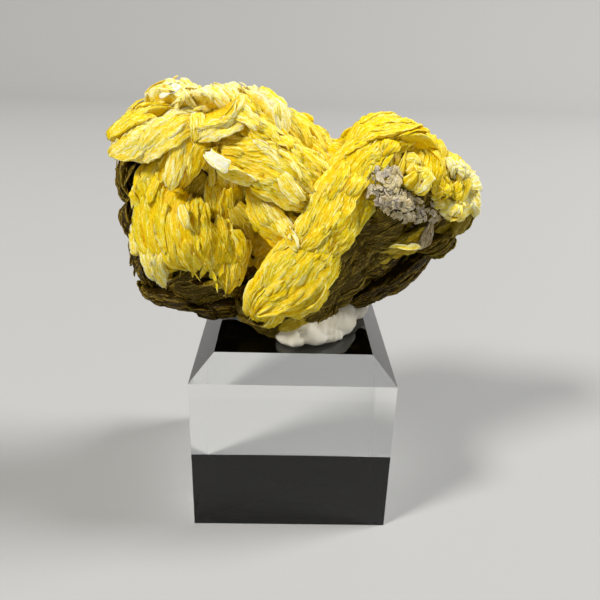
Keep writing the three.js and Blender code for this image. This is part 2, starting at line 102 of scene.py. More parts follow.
# Sheaves: the finish, the middle of the crest in mm, the ways the rims face and run, as (right, up,
# forward) of the leaning face with forward left out where it is 0, then (length along the rims,
# width across them, depth) in mm and degrees of (opening, splay of the rims). A slanted sheaf also
# says how much further its (first, last) ends reach on one side than on the other, in half lengths.
SHEAVES = [
    # Left mass, crown
    (LEMON, (-39, -1, 101.5), (-0.6, 0.6, 0.5), (0.92, 0.39), (18, 10, 7), (60, 8)),
    (CREST, (-31, 4, 107.7), (-0.3, 1, 0.1), (0.8, 0, 0.6), (13, 13, 8), (60, 20)),
    (CREST, (-28, -1.5, 103.8), (-0.1, 0.5, 0.85), (0.6, 0.8), (15, 15, 8), (50, 20)),
    (CREST, (-18, 5, 107.4), (0, 1, 0.2), (0.4, -0.9, 0.2), (14, 20, 8), (40, 16)),
    (LEMON, (-13, -3, 103.5), (0.1, 0.5, 0.85), (0.5, -0.87), (17, 20, 8), (50, 20)),
    (CREST, (-5.5, 4, 104.5), (0.5, 0.85, 0.2), (0.6, -0.6, 0.5), (19, 14, 8), (50, 12)),
    (GOLD, (3, -1, 98.5), (0.45, 0.5, 0.75), (0.68, -0.73), (23, 11, 8), (50, 8)),
    # Left mass, upper face
    (CREAM, (-31, -8.2, 94.2), (0.35, -0.8, 0.5), (0.93, 0.37), (19, 6, 6), (24, 8)),
    (GOLD, (-24.8, -9.6, 95), (0.2, 0, 1), (0.25, 0.97), (17, 8, 7), (50, 10)),
    (CREAM, (-16.5, -10, 100), (0.4, -0.75, 0.5), (0.87, 0.5), (14, 4, 5), (20, 6)),
    (LEMON, (-8, -8.5, 98.5), (0.1, 0.3, 0.95), (0.64, -0.77), (19, 9, 7), (40, 8)),
    (LEMON, (0.5, -11, 94), (0.2, 0.2, 1), (0.72, -0.69), (20, 8, 7), (40, 8)),
    (CREAM, (1.5, -12, 86), (-0.6, -0.6, 0.5), (0.75, -0.65), (12, 4, 4), (16, 4)),
    (LEMON, (-8, -14, 92), (0, 0.05, 1), (0.89, -0.45), (29, 12, 8), (60, 12)),
    (CREAM, (-16.5, -14.5, 90.5), (-0.5, -0.7, 0.5), (0.8, -0.6), (11, 3, 4), (16, 6)),
    # Left mass, hollow between the upper face and the cape
    (AMBER_AND_SHADE, (-5, -9.5, 84.5), (0, 0, 1), (0.82, -0.57), (22, 9, 7), (40, 6)),
    (GOLD, (-18, -9.5, 83), (0.2, -0.1, 1), (0.1, 1, 0.2), (12, 9, 7), (40, 12)),
    (AMBER_AND_SHADE, (-13, -11, 79.5), (0.2, -0.1, 1), (0.5, -0.86), (12, 5, 6), (24, 6)),
    (LEMON, (-7.5, -13, 78.5), (-0.5, -0.5, 0.7), (0.6, -0.8), (19, 7, 6), (30, 8)),
    (GOLD, (-1.5, -13, 78), (-0.4, -0.2, 1), (0.5, -0.86), (10, 5, 5), (24, 6)),
    # Cape: a slanted sheaf that hangs down, and smaller ones round it
    (OCHRE_AND_SHADE, (-27, -8, 84.5), (0.2, -0.3, 0.9), (0.3, 1), (12, 9, 6), (40, 10)),
    (GOLD, (-25, -16.4, 76.6), (-0.08, -0.15, 1), (-0.08, 1), (19, 28, 8), (66, -20), (0, 2.3)),
    (GOLD, (-35, -10.4, 85.6), (-0.3, 0.05, 0.95), (-0.12, 1, 0.1), (16, 6.5, 6), (50, -10)),
    (CREAM, (-34.3, -13.2, 69), (-0.35, -0.2, 0.95), (-0.05, 1), (14, 7.5, 7), (50, 14)),
    (GOLD, (-14, -14.3, 70), (0.3, 0, 0.95), (0.12, 1), (17, 8.5, 8), (40, 14)),
    (OLIVE_AND_SHADE, (-23, -9, 61), (0, -0.5, 0.85), (0.95, 0.2), (20, 11, 7), (50, 10)),
    # Arm: sheaves that climb to the right
    (GOLD, (20, 0, 101), (-0.1, 0.85, 0.5), (0.7, 0.7), (20, 14, 9), (60, 12)),
    (GOLD, (12.5, -9, 93), (-0.25, 0.35, 0.9), (0.62, 0.78), (24, 12, 8), (50, 10)),
    (SHINGLE, (6, -16.5, 84), (-0.2, 0.1, 1), (0.54, 0.84), (30, 11, 9), (60, 10)),
    (SHINGLE, (12.4, -15, 82.3), (0.35, 0, 0.95), (0.56, 0.83), (30, 10, 9), (40, 8)),
    (SHINGLE, (-1, -20, 69.5), (-0.15, 0, 1), (0.64, 0.77), (30, 12, 9), (60, 10)),
    (SHINGLE, (5.6, -18.4, 68.2), (0.45, -0.3, 0.85), (0.7, 0.7), (27, 10, 8), (50, 8)),
    (LEMON, (-7.5, -17, 59.5), (-0.2, -0.5, 0.85), (0.5, 0.87), (16, 10, 7), (60, 14)),
    (LEMON, (1.5, -17, 60), (0.2, -0.6, 0.8), (0.9, 0.35), (15, 8, 6), (50, 14)),
    # Right lobe
    (GOLD, (27, 1, 99.5), (0.1, 0.9, 0.4), (0.6, 0.7, 0.3), (14, 15, 8), (60, 16)),
    (GOLD, (33.5, 0, 95), (0.4, 0.75, 0.5), (0.3, 0.9, 0.3), (12, 12, 8), (60, 16)),
    (GOLD, (30.5, -6, 91.5), (0.1, 0.2, 1), (0.15, 1), (10, 9, 7), (40, 12)),
    (LEMON, (37.5, -4.4, 87), (0, 0.1, 1), (0.25, 1), (11, 9, 7), (60, 12)),
    (LEMON, (40, 1, 93), (0.5, 0.8, 0.3), (0.3, 0.3, 0.9), (9, 9, 7), (60, 20)),
    (KNOB, (45, 1, 88), (0.85, 0.5, 0.3), (0.1, 0.3, 0.9), (9, 8, 7), (60, 20)),
    (KNOB, (47, 1, 81), (1, -0.1, 0.3), (0.2, 0.5, 0.9), (10, 9, 7), (60, 20)),
    (CREAM, (38.5, -5, 81), (0, -0.5, 0.9), (0.95, 0.2), (11, 6, 6), (40, 10)),
    (UMBER_AND_SHADE, (44, 2, 74.5), (0.8, -0.6, 0.2), (0.6, 0.6, 0.5), (12, 10, 8), (60, 20)),
    (AMBER_AND_SHADE, (20, -11, 88.5), (0.5, 0.2, 0.8), (0.6, 0.8), (10, 7, 5), (50, 30)),
    (OLIVE_AND_SHADE, (22.5, -11, 83), (0.5, -0.1, 0.85), (0.75, 0.6), (10, 7, 5), (50, 30)),
    (OLIVE_AND_SHADE, (30.5, -7, 81.5), (0.2, -0.3, 0.9), (0.65, 0.75), (12, 7, 6), (40, 16)),
    (GREY, (32.5, -5, 73.5), (0.5, -0.6, 0.6), (0.4, 0.9), (10, 4, 5), (16, 8)),
    (OLIVE_AND_SHADE, (38, 1, 69), (0.5, -0.8, 0.4), (0.9, 0.3), (15, 10, 8), (50, 20)),
    # Flank under the arm
    (OLIVE_AND_SHADE, (21.5, -9.5, 77), (0.45, -0.5, 0.75), (0.95, 0.1), (18, 9, 7), (50, 12)),
    (OCHRE_AND_SHADE, (28, -6.4, 72.2), (0.3, -0.6, 0.75), (0.95, 0.2), (12, 6, 6), (40, 8)),
    (OLIVE_AND_SHADE, (14.5, -12.5, 70.5), (0.6, -0.4, 0.7), (0.6, 0.8), (25, 8, 8), (40, 8)),
    (BROWN_AND_SHADE, (30, 1, 59), (0.5, -0.8, 0.3), (0.78, 0.62), (23, 12, 8), (50, 12)),
    (BROWN_AND_SHADE, (21.5, -1, 55), (0.4, -0.9, 0.3), (0.75, 0.6), (19, 10, 8), (50, 12)),
    (OLIVE_AND_SHADE, (11, -9.5, 59.5), (0.3, -0.8, 0.6), (0.85, 0.5), (17, 8, 6), (50, 16)),
    (OLIVE_AND_SHADE, (-8, -12, 51), (-0.2, -0.85, 0.5), (0.85, -0.4), (18, 10, 8), (50, 14)),
    (OLIVE_AND_SHADE, (3, -13, 52.5), (0.1, -0.8, 0.6), (0.95, 0.2), (14, 8, 6), (50, 14)),
    (OCHRE_AND_SHADE, (0, -13.8, 52), (0, -0.6, 0.8), (0.8, 0.5), (13, 7, 5), (50, 20)),
    (OLIVE_AND_SHADE, (7, -11.5, 54.5), (0.3, -0.6, 0.75), (0.7, 0.7), (11, 6, 4), (60, 20)),
    (OLIVE_AND_SHADE, (12.5, -8, 56.5), (0.4, -0.6, 0.7), (0.75, 0.65), (9, 5, 4), (60, 20)),
    # Left side and underside
    (BROWN_AND_SHADE, (-44, 3, 86), (-0.95, 0.1, 0.2), (0.1, 1), (17, 11, 8), (50, 14)),
    (BROWN_AND_SHADE, (-44.5, 4, 73), (-0.95, -0.2, 0.2), (0.1, 1, 0.1), (19, 12, 9), (50, 14)),
    (BROWN_AND_SHADE, (-41, 2, 60), (-0.8, -0.6, 0.1), (0.5, 0.7, 0.3), (18, 12, 8), (60, 14)),
    (BROWN_AND_SHADE, (-33.5, -2, 52), (-0.3, -0.95, 0.1), (0.9, 0.1, 0.2), (18, 13, 8), (50, 14)),
    (BROWN_AND_SHADE, (-20, -5, 51), (0, -1, 0.1), (0.95, 0.2), (20, 12, 8), (40, 14)),
    # Back
    (GOLD, (-36, 14, 96), (-0.6, 0.6, -0.7), (0.6, 0.8), (22, 14, 9), (60, 12)),
    (GOLD, (-18, 17, 98.5), (0, 0.8, -0.7), (-0.4, 0.9), (18, 18, 9), (60, 16)),
    (GOLD, (-1, 14, 96), (0.2, 0.8, -0.6), (0.7, 0.7), (20, 14, 8), (60, 12)),
    (GOLD, (14, 11, 92), (0, 0.8, -0.5), (-0.6, 0.8), (20, 13, 8), (60, 12)),
    (LEMON, (29, 13, 90), (0.3, 0.6, -0.7), (0.3, 0.95), (18, 15, 8), (60, 14)),
    (KNOB, (42, 10, 83), (0.8, 0.2, -0.6), (-0.2, 1), (18, 13, 8), (60, 14)),
    (GOLD, (-40, 14, 78), (-0.7, 0.3, -0.9), (-0.2, 1), (23, 14, 9), (60, 14)),
    (LEMON, (-21, 21, 81), (0, 0.4, -1), (0.5, 0.85), (26, 18, 9), (60, 14)),
    (LEMON, (-3, 19, 79), (0.1, 0.4, -1), (-0.3, 0.95), (24, 16, 9), (60, 14)),
    (GOLD, (14, 16, 78), (0.2, 0.3, -1), (0.6, 0.8), (23, 15, 8), (60, 14)),
    (OCHRE_AND_SHADE, (30, 15, 74), (0.4, -0.1, -0.9), (0.9, 0.3), (20, 14, 8), (60, 14)),
    (OLIVE_AND_SHADE, (-33, 15, 61), (-0.4, -0.3, -0.9), (0.9, -0.4), (21, 14, 8), (60, 14)),
    (OCHRE_AND_SHADE, (-15, 17, 61), (0, -0.2, -1), (-0.6, 0.8), (20, 15, 8), (60, 14)),
    (OLIVE_AND_SHADE, (3, 14, 62), (0.1, -0.2, -1), (0.9, 0.4), (19, 13, 8), (60, 14)),
    (OLIVE_AND_SHADE, (20, 11, 62), (0.4, -0.5, -0.8), (-0.5, 0.85), (19, 13, 8), (60, 14)),
]

# Leaves: broad plates that show a face. Rows like those of the sheaves, with thin plates.
LEAVES = [
    (LEMON, (-39, -5, 100.5), (-0.3, 0.5, 0.8), (0.9, 0.4), (13, 7, 3), (40, 10)),
    (LEAF, (-36.5, -9.2, 96), (-0.2, 0.3, 0.93), (0.9, 0.42), (17, 7, 2), (20, 8)),
    (LEAF, (-29, -9.6, 97.5), (0, 0.15, 1), (0.82, 0.57), (15, 6.5, 2), (20, 8)),
    (PLATE, (-37.5, -9.8, 94.6), (-0.2, 0, 0.97), (0.92, 0.4), (8, 3, 1.2), (20, 8)),
    (LEAF, (-26.8, -10.8, 93.3), (0.1, 0.1, 1), (0.4, 0.92), (14, 4.8, 2), (50, 4)),
    (LEAF, (-22.9, -9.8, 100), (0.1, 0.3, 1), (0.05, 1), (8, 3.2, 1.6), (40, 4)),
    (GOLD, (-22.6, -11.3, 93.6), (0.2, 0, 1), (0.4, 0.92), (11, 3.6, 2), (50, 4)),
    (GOLD, (-30, -9.8, 91.5), (-0.1, 0, 1), (0.5, 0.87), (9, 3, 2), (40, 4)),
    (PLATE, (-17, -10.5, 100.3), (0.1, 0.2, 0.97), (0.85, 0.52), (13, 5, 1.4), (18, 8)),
    (CREAM, (-12, -9, 103), (0.1, 0.3, 0.95), (0.85, -0.5), (8, 4, 1.4), (20, 8)),
    # Two white plates: painted glare highlights on the crown and on the upper face.
    (PAINTED_GLARE, (-30, -2.6, 107), (-0.3, 0.4, 0.87), (0.7, 0.7), (5, 3, 0.9), (30, 8)),
    (PAINTED_GLARE, (-18.2, -15.8, 93.5), (-0.2, 0.05, 0.97), (0.77, -0.64), (7.8, 3.8, 0.9), (14, 8)),
    (LEAF, (-2, -13.8, 93), (0.2, 0.2, 0.95), (0.68, -0.73), (9, 1.8, 1), (20, 6)),
    (PLATE, (-7, -12.4, 95), (0.1, 0.2, 0.95), (0.6, -0.8), (9, 2.4, 0.9), (20, 8)),
    (PLATE, (-2.4, -16.2, 87.7), (0, 0, 1), (0.75, -0.65), (7.5, 4.2, 1.1), (30, 8)),
    (LEAF, (-4, -14.6, 80.5), (0.3, 0.3, 0.9), (0.55, -0.83), (14, 4, 1.4), (24, 8)),
    (PLATE, (-1.4, -18, 76.4), (-0.2, 0.1, 1), (0.35, -0.93), (6.5, 2.8, 1.1), (24, 6)),
    (CREAM, (-39.5, -5.8, 73.5), (-0.3, 0, 0.95), (0.05, 1), (10, 3.5, 1.6), (34, 4)),
    # A thin cream leaf on the cape: a painted highlight streak.
    (CREAM, (-25.5, -17, 80.5), (0, -0.1, 1), (-0.4, 1), (6, 1.8, 0.6), (20, 6)),
    (PLATE, (29.5, -9, 88.6), (0.1, 0, 1), (0.7, 0.7), (5.5, 1.4, 0.8), (14, 4)),
    (GREY, (32.2, -6.4, 74), (0.35, -0.1, 0.93), (0.5, 0.87), (5, 3.6, 0.9), (14, 4)),
    (PLATE, (26.5, -8.8, 72.6), (0.2, 0.4, 0.9), (0.95, 0.15), (9, 1.8, 0.9), (14, 4)),
    (OCHRE_AND_SHADE, (-18.5, -12.5, 62.5), (0, -0.4, 0.9), (0.9, 0.3), (6, 2, 1), (24, 8)),
    (GOLD, (-10, 22, 88), (0.1, 0.6, -0.8), (0.8, 0.5), (18, 7, 3), (40, 10)),
    (LEMON, (-28, 20, 90), (-0.2, 0.6, -0.8), (0.4, 0.9), (17, 7, 3), (40, 10)),
    (GOLD, (6, 19, 72), (0.1, 0.1, -1), (0.6, 0.8), (16, 7, 3), (40, 10)),
    (OCHRE_AND_SHADE, (-24, 20, 69), (-0.1, 0, -1), (0.7, 0.7), (16, 7, 3), (40, 10)),
    (OCHRE_AND_SHADE, (22, 16, 70), (0.3, 0, -1), (-0.6, 0.8), (15, 6, 3), (40, 10)),
    (LEMON, (36, 14, 84), (0.5, 0.3, -0.8), (0.5, 0.8), (13, 6, 3), (40, 10)),
]

# Druses: rosettes of small round plates. The finish, the middle and the way they face, then
# (reach to the right, reach upward, depth) of the druse in mm, how many, and their size in mm.
DRUSES = [
    (GREY, (20.5, -12.2, 88), (0.3, 0.1, 0.95), (4.5, 4.5, 1.5), 90, 1.7),
    (GREY, (23.5, -11.7, 84), (0.3, 0, 0.95), (3.5, 2.6, 1.5), 40, 1.8),
    (GREY, (29.8, -8, 81.2), (0.2, -0.2, 0.95), (4, 2.6, 1.2), 45, 1.7),
]
# Rosettes: plates in each, distance apart and sizes as shares of that size, and how much the tone
# varies. Plates: length as a share of the rosette's size, width and thickness as shares of that
# length, lean outward, and raggedness.
ROSETTE_PETALS = 4
ROSETTE_SPACING = 0.6
ROSETTE_SIZE = (0.7, 1.3)
ROSETTE_TONES = 0.18
PETAL_LENGTH = (0.7, 1.1)
PETAL_WIDTH = (0.6, 1.0)
PETAL_THICKNESS = 0.11
PETAL_LEAN = (-0.2, 0.4)
PETAL_ROUGHNESS = 0.2

# Knots: heaps of small sheaves, in the same order, and the size of one sheaf in mm.
KNOTS = [
    (LEMON, (26, -8, 92), (0.1, 0.2, 0.95), (5, 4, 2), 12, 4.5),
    (GOLD, (35.5, -6.8, 87.2), (0, 0.1, 1), (3.5, 3, 1.5), 11, 4.0),
    (KNOB, (38.5, -3, 92), (0.2, 0.6, 0.7), (2.5, 2.2, 1.5), 9, 3.6),
    (KNOB, (43, -1.5, 89.8), (0.7, 0.4, 0.6), (3, 3, 2.5), 10, 3.8),
    (KNOB, (44, -1, 84), (0.8, 0, 0.6), (4, 5, 3), 16, 4.5),
    (CREAM, (37.5, -6.4, 81.3), (0.1, -0.4, 0.9), (4.5, 1.8, 1), 9, 3.6),
]
# A small sheaf's length as a share of that size, its depth in mm and its opening in degrees.
KNOT_LENGTH = (0.8, 1.4)
KNOT_DEPTH = 3
KNOT_OPENING = (70, 120)
# How far the parts of druses and knots stand out, in mm, and how much they face away from the
# middle, and at random.
PILE_RISE = (-0.6, 0.4)
PILE_SPREAD = 0.4
PILE_SWAY = 0.3
# Width, as a share of the length, and splay in degrees of the small sheaves of knots and the fill.
SMALL_WIDTH = (0.6, 0.9)
SMALL_SPLAY = (10, 40)

# Fill: small sheaves where the middle is bare. Distance apart, length and depth in mm, opening in
# degrees, how far they stand out in mm, and how much their direction varies.
FILL_SPACING = 3.4
FILL_LENGTH = (6, 9)
FILL_DEPTH = 4
FILL_OPENING = (60, 90)
FILL_RISE = (-0.2, 0.9)
FILL_SWAY = 0.35

# Dense middle under the sheaves: ellipsoids in mm, (centre, radii, lean about Y, turn about Z).
CORES = [
    ((3, -3, 60), (15, 10, 10.5), 0, 50),
    ((-22, 5, 82), (18, 13, 22), 0, 0),
    ((-22, 4, 65), (18, 12, 12), 0, 0),
    ((-4, 5, 79), (15, 12, 19), 0, 0),
    ((13, 0, 81), (10, 12, 22), 35, 0),
    ((31, 4, 83), (13, 10, 10), 20, 0),
    ((19, 3, 70), (14, 10, 9), -35, 0),
]

# How much smaller the middle is than in the imported part, in mm, so that plates hide it, where a
# packed face counts as its surface, in radii, and its painted shade: how light it is and its olive
# brown tone, dark so that it shows as deep shadow in the gaps.
CORE_SINK = 1.2
CORE_SURFACE = (0.9, 1.03)
CORE_SHADE = 0.15
CORE_SHADE_TONE = (0, 0.9, 0)

# The whole cluster is bent a little, in waves of (wavelength, height) in mm.
HEAP_WAVES = [(20, 0.5), (7, 0.16), (2.4, 0.05)]
# Every plate has its own place in the pattern of streaks, within this span in mm.
PATTERN_SPAN = 60
# How far the rims of a sheaf bow sideways, in lengths of the sheaf.
RIM_BOW = 0.05
# Ridges: width of a side, height, spacing of the points along one, and roughness, in mm.
RIDGE_SIDE = 0.25
RIDGE_HEIGHT = 0.12
RIDGE_GRAIN = 0.75
RIDGE_ROUGHNESS = 0.05
# Blades: distance apart along and across, length and width as shares of the finish's size, then in
# mm how much their heights vary, how far the ends dip, the most they bend, how deep the gaps
# between them are, and how wide the painted highlight on their raised rim is.
BLADE_SPACING = (0.55, 0.7)
BLADE_REACH = (0.7, 1.25)
BLADE_BREADTH = (0.8, 1.4)
BLADE_LIFT = 0.25
BLADE_DIP = 0.35
BLADE_BEND = 0.6
BLADE_GAP = 0.3
BLADE_RIM = 0.3
# How light a surface is painted, from 0 to 1: all over, what a cream finish adds, and the painted
# highlights on a ridge, on the sheaf's long edges and on a blade's raised rim. A ridge's light is a
# painted highlight on raised ridges and painted shade on sunken ones. Beyond a share of its half
# width a blade darkens with painted shade, and gaps are darker still, as painted shadow. Then how
# much blades differ in cream.
BASE_LIGHT = 0.5
PALE_LIGHT = 0.32
RIDGE_LIGHT = 0.1
OUTLINE_HIGHLIGHT = 0.2
RIM_HIGHLIGHT = 0.62
EDGE_START = 0.6
EDGE_SHADE = -0.35
GAP_SHADE = -0.5
BLADE_PALES = (-0.15, 0.2)
# How far the outlines of blades wander, in mm, and how often, in radians per mm along and across.
BLADE_WANDER = 0.22
WANDER_WAVES = (1.7, 1.1)
# Rows of points down each flank of a sheaf and of a leaf. How far they stand in and out, how rough
# they are and where they are in the pattern, in mm. How light they are painted at the top, the painted
# shade that the depth adds towards the keel, and the painted highlight that every second row adds.
FLANK_ROWS = 6
LEAF_FLANK_ROWS = 3
FLANK_RELIEF = 0.13
FLANK_ROUGHNESS = 0.05
FLANK_PATTERN = 9
FLANK_LIGHT = 0.62
KEEL_SHADE = -0.3
RELIEF_LIGHT = 0.08
# How far the two long edges of a sheaf wander in and out, in mm.
EDGE_ROUGHNESS = 0.16
# Where ridges end, in half lengths, and over what width neighbouring ones end alike, in mm.
END_REACH = (0.84, 1.06)
END_WIDTH = 1.2
# The keel of a sheaf: depth under the crest and reach, as shares of the sheaf's depth and length,
# and how light it is painted: dark, as painted shade under the sheaf.
KEEL_DEPTH = 1.25
KEEL_REACH = 0.3
KEEL_LIGHT = 0.3
# How much narrower a sheaf and a leaf are at their ends. A leaf is no deeper than this in mm.
SHEAF_TAPER = 0.3
LEAF_TAPER = 0.55
LEAF_DEPTH = 3.5
# How round a sheaf's crest is along its rims.
SHEAF_ROUNDNESS = 2.3
# Leaves that lie over a sheaf longer than this in mm: how far from its middle they are, as shares of
# its width and half length, the area for each, their length and their width, as shares of a
# blade's, their depth and height over the sheaf in mm, then degrees of (opening, splay), of tilt and
# of turn.
OVERLAY_SHEAF = 10
OVERLAY_SPAN = (0.45, 0.75)
OVERLAY_AREA = 3.0
OVERLAY_LENGTH = (0.8, 1.3)
OVERLAY_WIDTH = (1.2, 2.0)
OVERLAY_DEPTH = 1.4
OVERLAY_LIFT = (0.0, 0.6)
OVERLAY_FAN = (24, 8)
OVERLAY_TILT = (-4, 14)
OVERLAY_TURN = 8
# Loose plates on edge among the ridges: how many per mm of width, reach in half lengths, thickness,
# depth and height over the ridges in mm, lean in degrees, how much their tone varies, and how round
# and how rough their rims are.
LOOSE_COUNT = 0.5
LOOSE_REACH = (0.25, 0.8)
LOOSE_THICKNESS = 0.36
LOOSE_DEPTH = 2.2
LOOSE_RISE = (-0.2, 0.3)
LOOSE_LEAN = (5, 40)
LOOSE_TONES = 0.15
LOOSE_ROUNDNESS = 2.4
LOOSE_ROUGHNESS = 0.08
# Points round a loose plate: (share of the thickness, mm below the rim). Points along it: spacing
# in mm, and the fewest and most.
LOOSE_SECTION = [(0.0, 0.0), (0.5, 0.3), (0.0, LOOSE_DEPTH), (-0.5, 0.3)]
LOOSE_GRAIN = 0.8
LOOSE_POINTS = (7, 20)
# Scales: length in mm, width as a share of it, thickness and depth under the surface in mm, over
# what reach in mm they follow it, tilt in degrees, how much their direction and tone vary, points
# round the rim, raggedness, and how far the ends curl down, in lengths.
SCALE_LENGTH = (3.0, 8.5)
SCALE_WIDTH = (0.17, 0.34)
SCALE_THICKNESS = 0.2
SCALE_SINK = (-0.6, 0.2)
SCALE_EVENING = 1.5
SCALE_TILT = (3, 20)
SCALE_SWAY = 0.12
SCALE_TONES = 0.2
SCALE_POINTS = 12
SCALE_ROUGHNESS = 0.07
SCALE_CURL = 0.04
# Rings of a scale: (share of its outline, height as a share of its thickness, how light it is painted),
# and how light the middles of its underside and its face are painted: a painted highlight on the rim
# and painted shade on the underside.
SCALE_RINGS = [(0.7, -0.5, 0.5), (1.0, 0.0, 1.0), (0.8, 0.4, 0.8)]
SCALE_MIDDLE_LIGHTS = [0.5, 0.7]
# Triangles after which a new mesh starts.
HEAP_LIMIT = 175000

# ---- Small helpers ----


def unit(vector):
    return vector / np.linalg.norm(vector)


def face_direction(parts):
    """A direction in the frame, from (right, up, forward) of the leaning face, where forward may be
    left out. An array is such a direction already.
    """
    if isinstance(parts, np.ndarray):
        return parts
    right, up, forward = (*parts, 0)[:3]
    lean = math.radians(FACE_LEAN)
    return unit(np.array([
        right,
        up * math.sin(lean) - forward * math.cos(lean),
        up * math.cos(lean) + forward * math.sin(lean),
    ]))


def turned(vector, axis, angle):
    """vector turned about a unit axis by angle, in radians."""
    cosine, sine = math.cos(angle), math.sin(angle)
    return vector * cosine + np.cross(axis, vector) * sine + axis * (axis @ vector) * (1 - cosine)


def rotation(*turns):
    """The matrix of a few turns, each (degrees, axis)."""
    matrix = Matrix.Identity(3)
    for angle, axis in turns:
        matrix = matrix @ Matrix.Rotation(math.radians(angle), 3, axis)
    return matrix


def ripple(points, seed, wavelength, height, waves=7):
    """A smooth sideways shift of every point: for each axis, the sum of a few sine waves."""
    random = np.random.default_rng(seed)
    ways = random.normal(size=(3, waves, 3))
    ways /= np.linalg.norm(ways, axis=2, keepdims=True)
    ways *= 2 * math.pi / wavelength * random.uniform(0.7, 1.4, (3, waves, 1))
    phase = random.uniform(0, 2 * math.pi, (3, waves))
    swing = height * math.sqrt(2 / waves)
    shifts = [np.sin(points @ ways[axis].T + phase[axis]).sum(axis=1) for axis in range(3)]
    return points + swing * np.stack(shifts, axis=1)


def side_by_side(*columns):
    """Arrays of numbers as the last axis of one array. A single number fills its column."""
    return np.stack(np.broadcast_arrays(*columns), axis=-1)


def read_rows(items, name, width):
    """A named value of every point or face of a mesh, as rows of numbers."""
    data = np.zeros(len(items) * width)
    items.foreach_get(name, data)
    return data.reshape(-1, width)


def add_object(name, data):
    made = bpy.data.objects.new(name, data)
    bpy.context.scene.collection.objects.link(made)
    return made


def new_mesh(name, points, faces, attributes=None):
    """A smooth-shaded mesh object from points in mm, with named numbers or vectors at its points."""
    mesh = bpy.data.meshes.new(name)
    mesh.from_pydata((points * MM).tolist(), [], faces.tolist())
    mesh.polygons.foreach_set("use_smooth", np.ones(len(mesh.polygons), bool))
    for label, data in (attributes or {}).items():
        kind, key = ("FLOAT", "value") if data.ndim == 1 else ("FLOAT_VECTOR", "vector")
        layer = mesh.attributes.new(label, kind, "POINT")
        layer.data.foreach_set(key, data.astype(np.float32).ravel())
    mesh.update()
    return add_object(name, mesh)


# ---- Sheaves of plates ----


def tube_faces(rings, points):
    """Triangles of a closed tube: rings of points, with one more point at each end."""
    here = np.arange(points)
    after = (here + 1) % points
    faces = []
    for near in range(0, (rings - 1) * points, points):
        far = near + points
        faces += [(near + here, near + after, far + after), (near + here, far + after, far + here)]
    first, last = (np.full(points, rings * points + number) for number in (0, 1))
    end = (rings - 1) * points
    faces += [(first, after, here), (last, end + here, end + after)]
    return np.concatenate([np.stack(face, axis=1) for face in faces])


def tube_points(layers, skipped=0):
    """The points of a tube, and what they carry, from layers along it. The middle of the first and of
    the last ring are its end points. That many rings at each end as are skipped give nothing else.
    """
    gathered = []
    for part in zip(*layers):
        part = np.stack(part, axis=1)
        rings = part[skipped:len(part) - skipped].reshape(-1, *part.shape[2:])
        gathered.append(np.concatenate([rings, part[(0, -1),].mean(axis=1)]))
    return gathered


class Heap:
    """Plates gathered into one mesh, with what the material reads at each point: the painted light and
    shade, the tone and the place in the pattern.
    """

    def __init__(self):
        self.plates, self.count = [], 0

    def add(self, points, faces, light, tone, place):
        tone = np.broadcast_to(tone, (len(points), 3))
        self.plates.append((points, faces + self.count, light, tone, place))
        self.count += len(points)

    def triangles(self):
        return sum(len(plate[1]) for plate in self.plates)

    def build(self, name):
        points, faces, light, tone, place = (np.concatenate(part) for part in zip(*self.plates))
        for step, (wavelength, height) in enumerate(HEAP_WAVES):
            points = ripple(points, SEED + step, wavelength, height)
        return new_mesh(name, points, faces, {"light": light, "tone": tone, "place": place})


def rounded(share, power):
    """Height of a rounded bar, 1 in its middle and 0 at share -1 and 1."""
    return np.clip(1 - np.abs(share) ** power, 0, 1) ** (1 / power)


def end_to_end(count):
    """Numbers from -1 to 1 that lie closer together towards both ends."""
    return np.sin(np.linspace(-0.5, 0.5, count) * math.pi)


class Sheaf:
    """A fan of rims about a pivot line, worked out from one row of the table."""

    def __init__(self, row, random):
        self.finish, at, out, along, (self.length, self.width, self.depth), (sweep, splay), *slant = row
        self.out, along = face_direction(out), face_direction(along)
        self.along = unit(along - self.out * (along @ self.out))
        self.sweep, self.splay = math.radians(sweep), math.radians(splay)
        self.radius = self.width / self.sweep
        self.pivot = np.array(at) - self.out * self.radius
        self.bow = random.uniform(-RIM_BOW, RIM_BOW) * self.length
        self.taper = LEAF_TAPER if self.depth < LEAF_DEPTH else SHEAF_TAPER
        self.slant = np.array(slant[0] if slant else (0, 0))

    def axes(self, share):
        """The ways that the rim at this share of the width faces, runs and is thick."""
        rise = turned(self.out, self.along, -share * self.sweep)
        run = turned(self.along, rise, share * self.splay)
        return rise, run, np.cross(run, rise)

    def crest(self, turn):
        """Height of the crest over the pivot, from end to end of a rim: turn goes from -1 to 1."""
        return self.radius + self.depth * (rounded(np.clip(turn, -1, 1), SHEAF_ROUNDNESS) - 1)

    def distance(self, share, turn):
        """How far along the rims a point is, in mm: turn goes from -1 to 1 between the ends."""
        first, last = 1 + np.multiply.outer(self.slant, share)
        return ((last - first) / 2 + turn * (last + first) / 2) * self.length / 2


def varied(finish, spread, random, extra_pale=0):
    """How cream, olive brown and grey a plate is: a little off its finish. What is 0 stays 0."""
    return tuple(
        float(np.clip(part + random.uniform(-spread, spread), 0, 1)) if part else 0.0
        for part in (finish.pale + extra_pale, finish.shade, finish.grey)
    )


